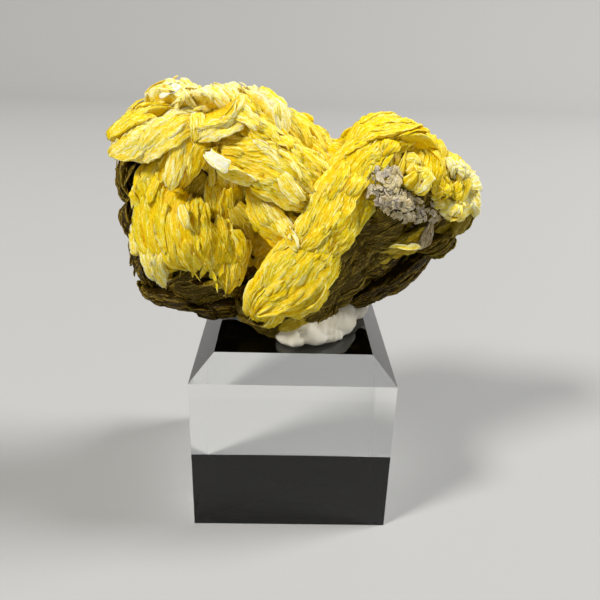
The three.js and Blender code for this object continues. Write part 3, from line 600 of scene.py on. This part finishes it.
def add_loose_plate(heap, sheaf, random):
    """A loose plate that stands on edge among the ridges of a sheaf."""
    reach = random.uniform(*LOOSE_REACH)
    middle = random.uniform(-1, 1) * (1.02 - reach)
    lean = math.radians(random.uniform(*LOOSE_LEAN))
    tone = varied(sheaf.finish, LOOSE_TONES, random)
    share = random.uniform(-0.5, 0.5)
    lift = random.uniform(*LOOSE_RISE)
    rise, run, side = sheaf.axes(share)
    points = int(np.clip(reach * sheaf.length / LOOSE_GRAIN, *LOOSE_POINTS))
    turn = end_to_end(points)
    along = middle + reach * turn
    distance = sheaf.distance(share, along)
    plate = rounded(turn, LOOSE_ROUNDNESS)
    wobble = random.normal(size=points) * LOOSE_ROUGHNESS
    up = rise * math.cos(lean) + side * math.sin(lean)
    over = side * math.cos(lean) - rise * math.sin(lean)
    spine = sheaf.pivot + np.outer(sheaf.crest(along) + lift, rise) + np.outer(distance, run)
    spine += np.outer(sheaf.bow * along ** 2, side)
    spine += np.outer(LOOSE_DEPTH * (plate - 1) + wobble * plate, up)
    own = random.uniform(0, PATTERN_SPAN)
    layers = []
    for across, below in LOOSE_SECTION:
        sunk = below * plate
        ring = spine - np.outer(sunk, up) + np.outer(across * LOOSE_THICKNESS * np.sqrt(plate), over)
        # Painted shade: the plate darkens with its depth under the rim.
        light = np.maximum(1 - 0.7 * sunk, 0.1)
        layers.append((ring, light, side_by_side(distance, sunk, own)))
    ring, light, place = tube_points(layers, skipped=1)
    heap.add(ring, tube_faces(points - 2, len(layers)), light, tone, place)


def add_scale(heap, middle, facing, along, size, tone, random, roughness=SCALE_ROUGHNESS):
    """A thin lens-shaped plate seen on its face, with a ragged rim that curls down at both ends. Its rim
    is painted lighter as a highlight and its underside darker as shade.
    """
    length, width, thickness = size
    along = unit(along - facing * (along @ facing))
    side = np.cross(facing, along)
    angle = np.linspace(0, 2 * math.pi, SCALE_POINTS, endpoint=False) + random.uniform(0, 0.6)
    edge = 1 + roughness * random.normal(size=SCALE_POINTS)
    x = np.cos(angle) * edge * length / 2
    y = np.sin(angle) * np.abs(np.sin(angle)) ** 0.5 * edge * width / 2
    curl = -SCALE_CURL * length * np.cos(angle) ** 2
    points, lights = [], []
    for share, height, light in SCALE_RINGS:
        rise = height * thickness + curl * share ** 2
        flat = np.outer(x * share, along) + np.outer(y * share, side)
        points.append(middle + flat + np.outer(rise, facing))
        lights.append(np.full(SCALE_POINTS, light))
    points.append([middle - facing * thickness * 0.6, middle + facing * thickness * 0.5])
    points = np.concatenate(points)
    flat = points - middle
    place = side_by_side(flat @ along, flat @ side, random.uniform(0, PATTERN_SPAN))
    faces = tube_faces(len(SCALE_RINGS), SCALE_POINTS)
    heap.add(points, faces, np.concatenate([*lights, SCALE_MIDDLE_LIGHTS]), tone, place)


def lay_blades(sheaf, random):
    """The blades over a sheaf: middle along and across, half length and width, lift and bend, in mm."""
    finish = sheaf.finish
    length, width = finish.cell * BLADE_SPACING[0], finish.blade * BLADE_SPACING[1]
    longest = sheaf.length * (1 + abs(sheaf.slant).max() / 2)
    rows, columns = math.ceil(longest / length) + 1, math.ceil(sheaf.width / width) + 1
    row, column = np.meshgrid(np.arange(rows), np.arange(columns))
    stagger = random.uniform(0, 1, (columns, 1)) + random.uniform(-0.2, 0.2, row.shape)
    middle_along = (row + stagger - rows / 2) * length
    middle_across = (column + random.uniform(-0.3, 0.3, row.shape) - (columns - 1) / 2) * width
    return np.stack([
        middle_along,
        middle_across,
        finish.cell / 2 * random.uniform(*BLADE_REACH, row.shape),
        finish.blade / 2 * random.uniform(*BLADE_BREADTH, row.shape),
        random.uniform(-BLADE_LIFT, BLADE_LIFT, row.shape),
        random.uniform(-BLADE_BEND, BLADE_BEND, row.shape),
    ]).reshape(6, -1)


def blade_relief(sheaf, along, across, blades):
    """Height and painted light at each point, and which blade is on top there: a painted highlight on each
    raised rim, painted shade towards the far edge and in the gaps. Distances are in mm.
    """
    middle_along, middle_across, reach, half, lift, bend = blades
    wave = along * WANDER_WAVES[0] + across * WANDER_WAVES[1]
    across = across + BLADE_WANDER * (np.sin(wave) + 0.6 * np.sin(wave * 2.3 + 1))
    end = (along[..., None] - middle_along) / reach
    narrow = half * np.sqrt(np.clip(1 - end ** 2, 0.0001, 1))
    edge = (across[..., None] - middle_across - bend * end ** 2) / narrow
    inside = (np.abs(end) < 1) & (np.abs(edge) < 1)
    slope = sheaf.finish.step / 2
    height = lift - slope * edge * narrow / half - BLADE_DIP * end ** 4
    height = np.where(inside, height, -slope - BLADE_GAP)
    blade = height.argmax(axis=-1)
    height, edge, narrow, inside = (
        np.take_along_axis(part, blade[..., None], axis=-1)[..., 0]
        for part in (height, edge, narrow, inside)
    )
    # Painted shade towards a blade's far edge and in the gaps, and a painted highlight along its raised
    # rim.
    beyond = np.clip((edge - EDGE_START) / (1 - EDGE_START), 0, 1)
    light = RIM_HIGHLIGHT * np.exp(-(edge + 1) * narrow / BLADE_RIM) + EDGE_SHADE * beyond
    return height, np.where(inside, light, GAP_SHADE), blade


def add_mass(heap, sheaf, random):
    """The closed mass of a sheaf: blades of fine ridges on top, rough flanks, and a keel under it."""
    finish = sheaf.finish
    columns = max(7, round(sheaf.width / RIDGE_SIDE))
    rows = max(8, round(sheaf.length / RIDGE_GRAIN))
    turn = end_to_end(rows)
    shares = np.linspace(-0.5, 0.5, columns)
    ends = random.uniform(*END_REACH, (2, math.ceil(sheaf.width / END_WIDTH) + 1))
    spots = np.linspace(0, ends.shape[1] - 1, columns)
    first, last = (np.interp(spots, np.arange(ends.shape[1]), end) for end in ends)
    along = turn[:, None] * np.where(turn[:, None] < 0, first, last)
    distance = sheaf.distance(shares, along)
    across = np.broadcast_to(shares * sheaf.width, (rows, columns))
    blades = lay_blades(sheaf, random)
    height, light, blade = blade_relief(sheaf, distance, across, blades)
    ridge = np.where(np.arange(columns) % 2, 1.0, -1.0) * random.uniform(0.2, 1.4, columns)
    ridge = ridge * (0.8 + 0.4 * np.sin(along * 5 + across * 3))
    height = height + RIDGE_HEIGHT * ridge + random.normal(size=(rows, columns)) * RIDGE_ROUGHNESS
    outline = np.minimum(across + sheaf.width / 2, sheaf.width / 2 - across)
    # Painted light: highlights on ridges, on the sheaf's long edges and on blade rims, shade in the gaps.
    light = BASE_LIGHT + PALE_LIGHT * finish.pale + light + RIDGE_LIGHT * ridge
    light = np.clip(light + OUTLINE_HIGHLIGHT * np.exp(-outline / BLADE_RIM), 0, 1)
    pales = random.uniform(*BLADE_PALES, blades.shape[1]) * (finish.grey == 0)
    pale = np.clip(finish.pale + pales[blade], 0, 1)
    tone = side_by_side(pale, finish.shade, finish.grey)
    place = side_by_side(distance, across, random.uniform(0, PATTERN_SPAN))
    jags = random.normal(size=(2, rows)) * EDGE_ROUGHNESS
    layers = []
    for column, share in enumerate(shares):
        rise, run, side = sheaf.axes(share)
        crest = sheaf.crest(turn) + height[:, column] * rounded(turn, 6)
        narrower = share * sheaf.width * sheaf.taper * (1 - rounded(turn, 2))
        top = sheaf.pivot + np.outer(crest, rise) + np.outer(distance[:, column], run)
        jag = jags[0] * (0.5 - share) ** 4 + jags[1] * (0.5 + share) ** 4
        top += np.outer(sheaf.bow * along[:, column] ** 2 + narrower + jag, side)
        layers.append((top, light[:, column], tone[:, column], place[:, column]))
    keel = sheaf.pivot + sheaf.out * (sheaf.radius - sheaf.depth * KEEL_DEPTH)
    keel = keel + np.outer(turn * sheaf.length * KEEL_REACH, sheaf.along)
    flanks = [flank_layers(sheaf, layers[edge], keel, way, random) for edge, way in ((0, -1), (-1, 1))]
    # The keel carries painted shade.
    under = (keel, np.full(rows, KEEL_LIGHT), *layers[0][2:])
    layers = [*reversed(flanks[0]), *layers, *flanks[1], under]
    points, light, tone, place = tube_points(layers)
    heap.add(points, tube_faces(rows, len(layers)), light, tone, place)


def flank_layers(sheaf, edge, keel, way, random):
    """Rows of points from one edge of a sheaf's top down to its keel."""
    top, _, tone, place = edge
    side = sheaf.axes(0.5 * way)[2] * way
    count = FLANK_ROWS if sheaf.depth > LEAF_DEPTH else LEAF_FLANK_ROWS
    layers = []
    for row in range(1, count + 1):
        depth = row / (count + 1)
        relief = FLANK_RELIEF * (1 if row % 2 else -1) + random.normal(size=len(top)) * FLANK_ROUGHNESS
        points = top * (1 - depth) + keel * depth + np.outer(relief, side)
        # Painted shade that deepens down the flank, with a painted highlight on every second row.
        light = FLANK_LIGHT + KEEL_SHADE * depth + RELIEF_LIGHT * (row % 2)
        shift = np.array([0, depth * sheaf.depth, FLANK_PATTERN])
        layers.append((points, np.full(len(top), light), tone, place + shift))
    return layers


def add_overlays(heap, row, sheaf, random):
    """Leaves that lie over a sheaf and follow its crest, each with one long edge raised."""
    cell, blade = sheaf.finish.cell, sheaf.finish.blade
    nudge = 0.05
    for _ in range(round(sheaf.length * sheaf.width / (cell * blade * OVERLAY_AREA))):
        share, along = (random.uniform(-span, span) for span in OVERLAY_SPAN)
        rise, run, side = sheaf.axes(share)
        climb = (sheaf.crest(along + nudge) - sheaf.crest(along - nudge)) / (nudge * sheaf.length)
        way = unit(run + climb * rise)
        out = turned(unit(rise - climb * run), way, math.radians(random.uniform(*OVERLAY_TILT)))
        place = sheaf.pivot + rise * (sheaf.crest(along) + random.uniform(*OVERLAY_LIFT))
        place = place + run * sheaf.distance(share, along)
        way = turned(way, out, math.radians(random.uniform(-OVERLAY_TURN, OVERLAY_TURN)))
        length, width = cell * random.uniform(*OVERLAY_LENGTH), blade * random.uniform(*OVERLAY_WIDTH)
        leaf = (row[0], place, out, way, (length, width, OVERLAY_DEPTH), OVERLAY_FAN)
        add_mass(heap, Sheaf(leaf, random), random)


def add_sheaf(heap, row, random):
    """A sheaf from one row of a table, with the leaves over it and loose plates among its rims."""
    sheaf = Sheaf(row, random)
    add_mass(heap, sheaf, random)
    if sheaf.depth > LEAF_DEPTH and sheaf.length > OVERLAY_SHEAF:
        add_overlays(heap, row, sheaf, random)
    for _ in range(round(sheaf.width * LOOSE_COUNT * min(1, sheaf.depth / 3))):
        add_loose_plate(heap, sheaf, random)


# ---- Druses, knots, fill and cover ----


def heap_places(row, random):
    """The places and outward directions of the rosettes or sheaves of a druse or a knot."""
    _, at, facing, (right, up, deep), count, _ = row
    facing = face_direction(facing)
    level = unit(np.cross(face_direction((0, 1, 0)), facing))
    upright = np.cross(facing, level)
    for _ in range(count):
        across, rise = random.uniform(-1, 1, 2)
        inward = -deep * (across ** 2 + rise ** 2) * 0.5 + random.uniform(*PILE_RISE)
        spread = level * across * PILE_SPREAD + upright * rise * PILE_SPREAD
        place = np.array(at) + level * across * right + upright * rise * up + facing * inward
        yield place, unit(facing + spread + random.normal(size=3) * PILE_SWAY)


def claim(place, taken, spacing):
    """Whether a place is clear of the ones taken. If it is, it is taken too."""
    clear = all(np.linalg.norm(place - other) >= spacing for other in taken)
    if clear:
        taken.append(place)
    return clear


def add_druse(heap, row, random):
    """Rosettes of small plates that lean away from each rosette's middle."""
    taken = []
    for place, facing in heap_places(row, random):
        size = row[-1] * random.uniform(*ROSETTE_SIZE)
        if not claim(place, taken, size * ROSETTE_SPACING):
            continue
        across = unit(np.cross(facing, random.normal(size=3)))
        tone = varied(row[0], ROSETTE_TONES, random)
        for petal in range(ROSETTE_PETALS):
            angle = (petal + random.uniform(-0.4, 0.4)) / ROSETTE_PETALS * 2 * math.pi
            outward = turned(across, facing, angle)
            length = size * random.uniform(*PETAL_LENGTH)
            petal_size = (length, length * random.uniform(*PETAL_WIDTH), length * PETAL_THICKNESS)
            middle = place + outward * length * 0.35 + facing * random.uniform(-0.3, 0.3)
            lean = unit(facing + outward * random.uniform(*PETAL_LEAN))
            add_scale(heap, middle, lean, outward, petal_size, tone, random, PETAL_ROUGHNESS)


def add_knot(heap, row, random):
    """Small sheaves that point all ways."""
    for place, out in heap_places(row, random):
        length = row[-1] * random.uniform(*KNOT_LENGTH)
        size = (length, length * random.uniform(*SMALL_WIDTH), KNOT_DEPTH)
        fan = (random.uniform(*KNOT_OPENING), random.uniform(*SMALL_SPLAY))
        add_sheaf(heap, (row[0], place, out, unit(random.normal(size=3)), size, fan), random)


def cluster_faces():
    """Middle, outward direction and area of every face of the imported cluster, in mm."""
    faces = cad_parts["siderite_cluster"].data.polygons
    middles, normals, areas = (
        read_rows(faces, name, width) for name, width in (("center", 3), ("normal", 3), ("area", 1))
    )
    return middles / MM, normals, areas[:, 0] / MM ** 2


def core_matrix(core):
    _, _, lean, turn = core
    return np.array(rotation((turn, "Z"), (lean, "Y")))


def smoothed_way(point, reach, surface):
    """The outward direction of the surface round a point, evened out over a reach in mm."""
    middles, normals, areas = surface
    near = np.exp(-((middles - point) ** 2).sum(axis=1) / reach ** 2) * areas
    return unit((normals * near[:, None]).sum(axis=0))


def scatter(density, surface, random):
    """Points at random over a surface, so many per square mm, each with the row of the sheaf that
    owns it: the nearest one, for its size.
    """
    middles, normals, areas = surface
    count = int(areas.sum() * density)
    faces = random.choice(len(areas), size=count, p=areas / areas.sum())
    shift = random.normal(size=(count, 3)) * np.sqrt(areas[faces])[:, None] * 0.4
    flat = (shift * normals[faces]).sum(axis=1)
    points = middles[faces] + shift - normals[faces] * flat[:, None]
    crests = np.array([row[1] for row in SHEAVES], float)
    sizes = np.array([math.sqrt(row[4][0] * row[4][1]) for row in SHEAVES])
    away = np.linalg.norm(points[:, None] - crests, axis=2) / sizes
    return [(point, SHEAVES[owner]) for point, owner in zip(points, away.argmin(axis=1))]


def add_fill(heaps, random):
    """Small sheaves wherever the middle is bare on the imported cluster."""
    surface = cluster_faces()
    middles = surface[0]
    bare = np.zeros(len(middles), bool)
    for core in CORES:
        level = np.linalg.norm((middles - core[0]) @ core_matrix(core) / np.array(core[1]), axis=1)
        bare |= (level > CORE_SURFACE[0]) & (level < CORE_SURFACE[1])
    surface = [part[bare] for part in surface]
    taken = []
    for point, owner in scatter(1, surface, random):
        if not claim(point, taken, FILL_SPACING):
            continue
        out = smoothed_way(point, FILL_DEPTH, surface)
        along = unit(face_direction(owner[3]) + random.normal(size=3) * FILL_SWAY)
        length = random.uniform(*FILL_LENGTH)
        size = (length, length * random.uniform(*SMALL_WIDTH), FILL_DEPTH)
        fan = (random.uniform(*FILL_OPENING), random.uniform(*SMALL_SPLAY))
        place = point + out * random.uniform(*FILL_RISE)
        add_sheaf(roomy(heaps), (owner[0], place, out, along, size, fan), random)


def add_cover(heaps, random):
    """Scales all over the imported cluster, each with one long edge standing clear."""
    surface = cluster_faces()
    densest = max(row[0].scales for row in SHEAVES)
    for point, owner in scatter(densest, surface, random):
        finish = owner[0]
        if random.uniform() * densest > finish.scales:
            continue
        facing = smoothed_way(point, SCALE_EVENING, surface)
        run = face_direction(owner[3]) + random.normal(size=3) * SCALE_SWAY
        run = unit(run - facing * (run @ facing))
        side = np.cross(run, facing)
        tilt = math.radians(random.uniform(*SCALE_TILT))
        facing = facing * math.cos(tilt) - side * math.sin(tilt)
        length = random.uniform(*SCALE_LENGTH)
        size = (length, length * random.uniform(*SCALE_WIDTH), SCALE_THICKNESS)
        tone = varied(finish, SCALE_TONES, random, extra_pale=0.01)
        middle = point - facing * random.uniform(*SCALE_SINK)
        add_scale(roomy(heaps), middle, facing, run, size, tone, random)


def roomy(heaps):
    """The last heap, or a new one once the last is nearly full."""
    if heaps[-1].triangles() > HEAP_LIMIT:
        heaps.append(Heap())
    return heaps[-1]


def add_core(heap, core):
    """One ellipsoid of the cluster's middle, painted dark olive brown as the shade of the deepest gaps."""
    centre, radii = core[:2]
    rows, columns = 14, 24
    polar = np.linspace(0, math.pi, rows + 2)[1:-1]
    round_angle = np.linspace(0, 2 * math.pi, columns, endpoint=False)
    ball = [(math.sin(p) * math.cos(q), math.sin(p) * math.sin(q), math.cos(p))
            for p in polar for q in round_angle]
    ball = np.array([*ball, (0, 0, 1), (0, 0, -1)])
    points = ball * (np.array(radii) - CORE_SINK) @ core_matrix(core).T + centre
    light = np.full(len(points), CORE_SHADE)
    heap.add(points, tube_faces(rows, columns), light, CORE_SHADE_TONE, points * 0.5)


# ---- Materials ----

# Colours of the siderite by how light the surface is painted, from dark amber in painted shade to pale
# lemon in painted highlights: (light, colour).
GOLDS = [
    (0, (0.42, 0.16, 0.001)), (0.3, (0.76, 0.46, 0.001)), (0.6, (0.9, 0.63, 0.001)),
    (0.8, (0.94, 0.7, 0.006)), (1, (1.00, 0.86, 0.18)),
]
CREAMS = [
    (0, (0.5, 0.25, 0.001)), (0.35, (0.88, 0.65, 0.01)), (0.6, (0.94, 0.78, 0.08)),
    (0.8, (0.98, 0.91, 0.4)), (1, (1.00, 0.98, 0.84)),
]
# Olive brown: partly the mineral's darker oxidised colour and partly painted shade, near black at the
# lowest painted light.
OLIVES_AND_SHADE = [
    (0, (0.003, 0.0015, 0.0002)), (0.4, (0.012, 0.006, 0.0003)), (0.75, (0.030, 0.016, 0.001)),
    (1, (0.26, 0.17, 0.01)),
]
GREYS = [(0, (0.05, 0.03, 0.01)), (0.5, (0.26, 0.2, 0.13)), (1, (0.66, 0.59, 0.5))]
PUTTIES = [(0.3, (0.74, 0.68, 0.52)), (0.7, (0.9, 0.86, 0.74))]


def wire(node, inputs):
    """Sets a node's inputs. Another node's output is linked, and anything else is a value."""
    for key, value in inputs.items():
        if isinstance(value, bpy.types.NodeSocket):
            node.id_data.links.new(value, node.inputs[key])
        else:
            node.inputs[key].default_value = value
    return node


def new_material(name):
    """A new material, its Principled shader, and a function that adds nodes to its tree."""
    material = bpy.data.materials.new(name)
    material.use_nodes = True
    nodes = material.node_tree.nodes

    def add(kind, inputs=None, **settings):
        node = nodes.new(kind)
        for key, value in settings.items():
            setattr(node, key, value)
        return wire(node, inputs or {})

    return material, nodes["Principled BSDF"], add


def add_ramp(add, level, stops):
    """The colour at a level of a ramp, from a list of (position, colour)."""
    ramp = add("ShaderNodeValToRGB", {"Fac": level})
    elements = ramp.color_ramp.elements
    while len(elements) < len(stops):
        elements.new(1.0)
    for element, (position, colour) in zip(elements, stops):
        element.position = position
        element.color = (*colour, 1)
    return ramp.outputs["Color"]


def add_noise(add, inputs):
    """How high a noise that is fixed to the object is."""
    where = add("ShaderNodeTexCoord")
    noise = add("ShaderNodeTexNoise", {"Vector": where.outputs["Object"], **inputs})
    return noise.outputs["Fac"]


def siderite_material():
    material, shader, add = new_material("siderite")
    light, tone, place = (
        add("ShaderNodeAttribute", attribute_name=name) for name in ("light", "tone", "place")
    )

    # Streaks that follow the rims, and grain that doesn't.
    stretch = add("ShaderNodeMapping", {"Vector": place.outputs["Vector"], "Scale": (0.85, 3.2, 1.0)})
    streaks = add("ShaderNodeTexNoise", {
        "Vector": stretch.outputs[0], "Scale": 1.0, "Detail": 3.0, "Distortion": 0.7,
    }).outputs["Fac"]
    grain = add_noise(add, {"Scale": 1900.0, "Detail": 3.0})

    # The painted light and shade, loosened by the streaks and the grain.
    level = light.outputs["Fac"]
    for noise, share in ((streaks, 1.3), (grain, 0.7)):
        shift = add("ShaderNodeMath", {0: noise, 1: 0.5}, operation="SUBTRACT")
        loosen = add("ShaderNodeMath", {0: shift.outputs[0], 1: share, 2: level}, operation="MULTIPLY_ADD")
        level = loosen.outputs[0]

    # Gold, then as much cream, olive brown and grey over it as the tone says. The olive brown is partly
    # painted shade, and some of the cream is painted highlight.
    split = add("ShaderNodeSeparateXYZ", {0: tone.outputs["Vector"]})
    colour = add_ramp(add, level, GOLDS)
    for stops, part in ((CREAMS, "X"), (OLIVES_AND_SHADE, "Y"), (GREYS, "Z")):
        over = add_ramp(add, level, stops)
        mixed = {"Factor": split.outputs[part], "A": colour, "B": over}
        colour = add("ShaderNodeMix", mixed, data_type="RGBA").outputs["Result"]

    rough = add("ShaderNodeMapRange", {"Value": grain, "To Min": 0.35, "To Max": 0.6})
    relief = add("ShaderNodeMath", {0: streaks, 1: 0.6, 2: grain}, operation="MULTIPLY_ADD")
    bump = add("ShaderNodeBump", {"Height": relief.outputs[0], "Strength": 0.5, "Distance": 0.25 * MM})
    wire(shader, {
        "Base Color": colour,
        "Roughness": rough.outputs["Result"],
        "Normal": bump.outputs["Normal"],
        "IOR": 1.5,
        "Specular IOR Level": 0.14,
        "Subsurface Weight": 0.4,
        "Subsurface Radius": (1.0, 0.8, 0.4),
        "Subsurface Scale": 0.6 * MM,
    })
    return material


def acrylic_material():
    """Clear acrylic with a faint haze."""
    material, shader, add = new_material("acrylic")
    haze = add_noise(add, {"Scale": 60.0})
    rough = add("ShaderNodeMapRange", {"Value": haze, "To Min": 0.0, "To Max": 0.03})
    wire(shader, {
        "Base Color": (0.97, 0.98, 0.98, 1),
        "Roughness": rough.outputs["Result"],
        "IOR": 1.49,
        "Transmission Weight": 1.0,
    })
    return material


def putty_material():
    material, shader, add = new_material("putty")
    mottle = add_noise(add, {"Scale": 180.0, "Detail": 4.0})
    wire(shader, {"Base Color": add_ramp(add, mottle, PUTTIES), "Roughness": 0.55})
    return material


def stage_material():
    material, shader, _ = new_material("stage")
    wire(shader, {"Base Color": (0.42, 0.42, 0.415, 1), "Roughness": 0.8})
    return material


# ---- The cluster ----


def build_cluster(material):
    random = np.random.default_rng(SEED)
    heaps = [Heap()]
    for core in CORES:
        add_core(heaps[0], core)
    for row in (*SHEAVES, *LEAVES):
        add_sheaf(roomy(heaps), row, random)
    for row in KNOTS:
        add_knot(roomy(heaps), row, random)
    for row in DRUSES:
        add_druse(roomy(heaps), row, random)
    add_fill(heaps, random)
    add_cover(heaps, random)
    for number, heap in enumerate(heaps):
        piece = heap.build(f"siderite_plates_{number + 1}")
        piece.data.materials.append(material)
        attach(piece, "root")
        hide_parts("siderite_cluster")


build_cluster(siderite_material())

# ---- Block and putty ----

# Folds in the putty: (spacing, height) of each set and (wavelength, height) of their bends, in mm,
# and levels of smoothing before them.
PUTTY_FOLDS = [(6.0, 0.8), (2.6, 0.35)]
PUTTY_BENDS = (9, 1.2)
PUTTY_LEVELS = 3


def softened(node):
    """Points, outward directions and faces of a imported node, rounded off, in mm."""
    shape = add_object("shape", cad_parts[node].data.copy())
    shape.modifiers.new("weld", "WELD")
    shape.modifiers.new("round", "SUBSURF").levels = PUTTY_LEVELS
    mesh = bpy.data.meshes.new_from_object(shape.evaluated_get(bpy.context.evaluated_depsgraph_get()))
    points, normals = (read_rows(mesh.vertices, name, 3) for name in ("co", "normal"))
    faces = np.array([tuple(face.vertices) for face in mesh.polygons])
    bpy.data.objects.remove(shape)
    bpy.data.meshes.remove(mesh)
    return points / MM, normals, faces


def build_putty(material):
    """Soft putty with pressed folds. It stays on top of the block."""
    points, normals, faces = softened("mounting_putty")
    folded = ripple(points, SEED, *PUTTY_BENDS)
    for number, (spacing, height) in enumerate(PUTTY_FOLDS):
        way = unit(np.random.default_rng(SEED + number).normal(size=3))
        points = points + normals * (np.abs(np.sin(folded @ way * math.pi / spacing)) * height)[:, None]
    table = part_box("acrylic_base")[1].z / MM
    points[:, 2] = np.maximum(points[:, 2], table)
    piece = new_mesh("putty_folds", points, faces)
    piece.data.materials.append(material)
    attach(piece, "root")
    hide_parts("mounting_putty")


build_putty(putty_material())
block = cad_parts["acrylic_base"].data
block.materials.clear()
block.materials.append(acrylic_material())

# ---- Stage, lights and camera ----


def build_stage():
    """A pale floor that curves up into a backdrop behind the object. Lengths here are in metres."""
    front, depth, rise, bend, half_width, steps = -1.2, 1.6, 1.2, 0.5, 2.5, 12
    angles = np.linspace(0, math.pi / 2, steps + 1)
    curve = [(depth - bend + bend * math.sin(angle), bend - bend * math.cos(angle)) for angle in angles]
    profile = [(front, 0.0), *curve, (depth, rise)]
    vertices = np.array([(side, y, z) for y, z in profile for side in (-half_width, half_width)]) / MM
    faces = np.array([(2 * n, 2 * n + 1, 2 * n + 3, 2 * n + 2) for n in range(len(profile) - 1)])
    floor = new_mesh("floor", vertices, faces)
    floor.data.materials.append(stage_material())


def add_area_light(name, place, target, size, power, colour):
    data = bpy.data.lights.new(name, "AREA")
    data.shape = "DISK"
    data.size = size
    data.energy = power
    data.color = colour
    light = add_object(name, data)
    light.location = place
    light.rotation_euler = (Vector(target) - Vector(place)).to_track_quat("-Z", "Y").to_euler()


def build_lights():
    """A warm light from the front left, a white one from above, and a faint warm sky."""
    centre = (cad_box[0] + cad_box[1]) / 2
    add_area_light("key", (-1.55, -0.95, 1.9), centre, 0.6, 57, (1.0, 0.97, 0.92))
    add_area_light("top", (1.6, 0.25, 1.7), centre, 0.8, 48, (1.0, 1.0, 1.0))
    world = bpy.data.worlds.new("studio")
    world.use_nodes = True
    wire(world.node_tree.nodes["Background"], {"Color": (1.0, 0.98, 0.94, 1), "Strength": 0.24})
    bpy.context.scene.world = world


def build_camera():
    """The camera stands in front, looks down on the block's top, and is rolled by a touch."""
    yaw, pitch, roll = 1.61, 22.94, 1.79
    turn = rotation((-yaw, "Z"), (90 - pitch, "X"), (roll, "Z")).to_4x4()
    data = bpy.data.cameras.new("camera")
    data.sensor_width = 36
    data.lens = 36.9
    camera = add_object("camera", data)
    camera.matrix_world = Matrix.Translation(Vector((-2.6, -151.8, 118.2)) * MM) @ turn
    bpy.context.scene.camera = camera


build_stage()
build_lights()
build_camera()
bpy.context.scene.view_settings.view_transform = "Standard"
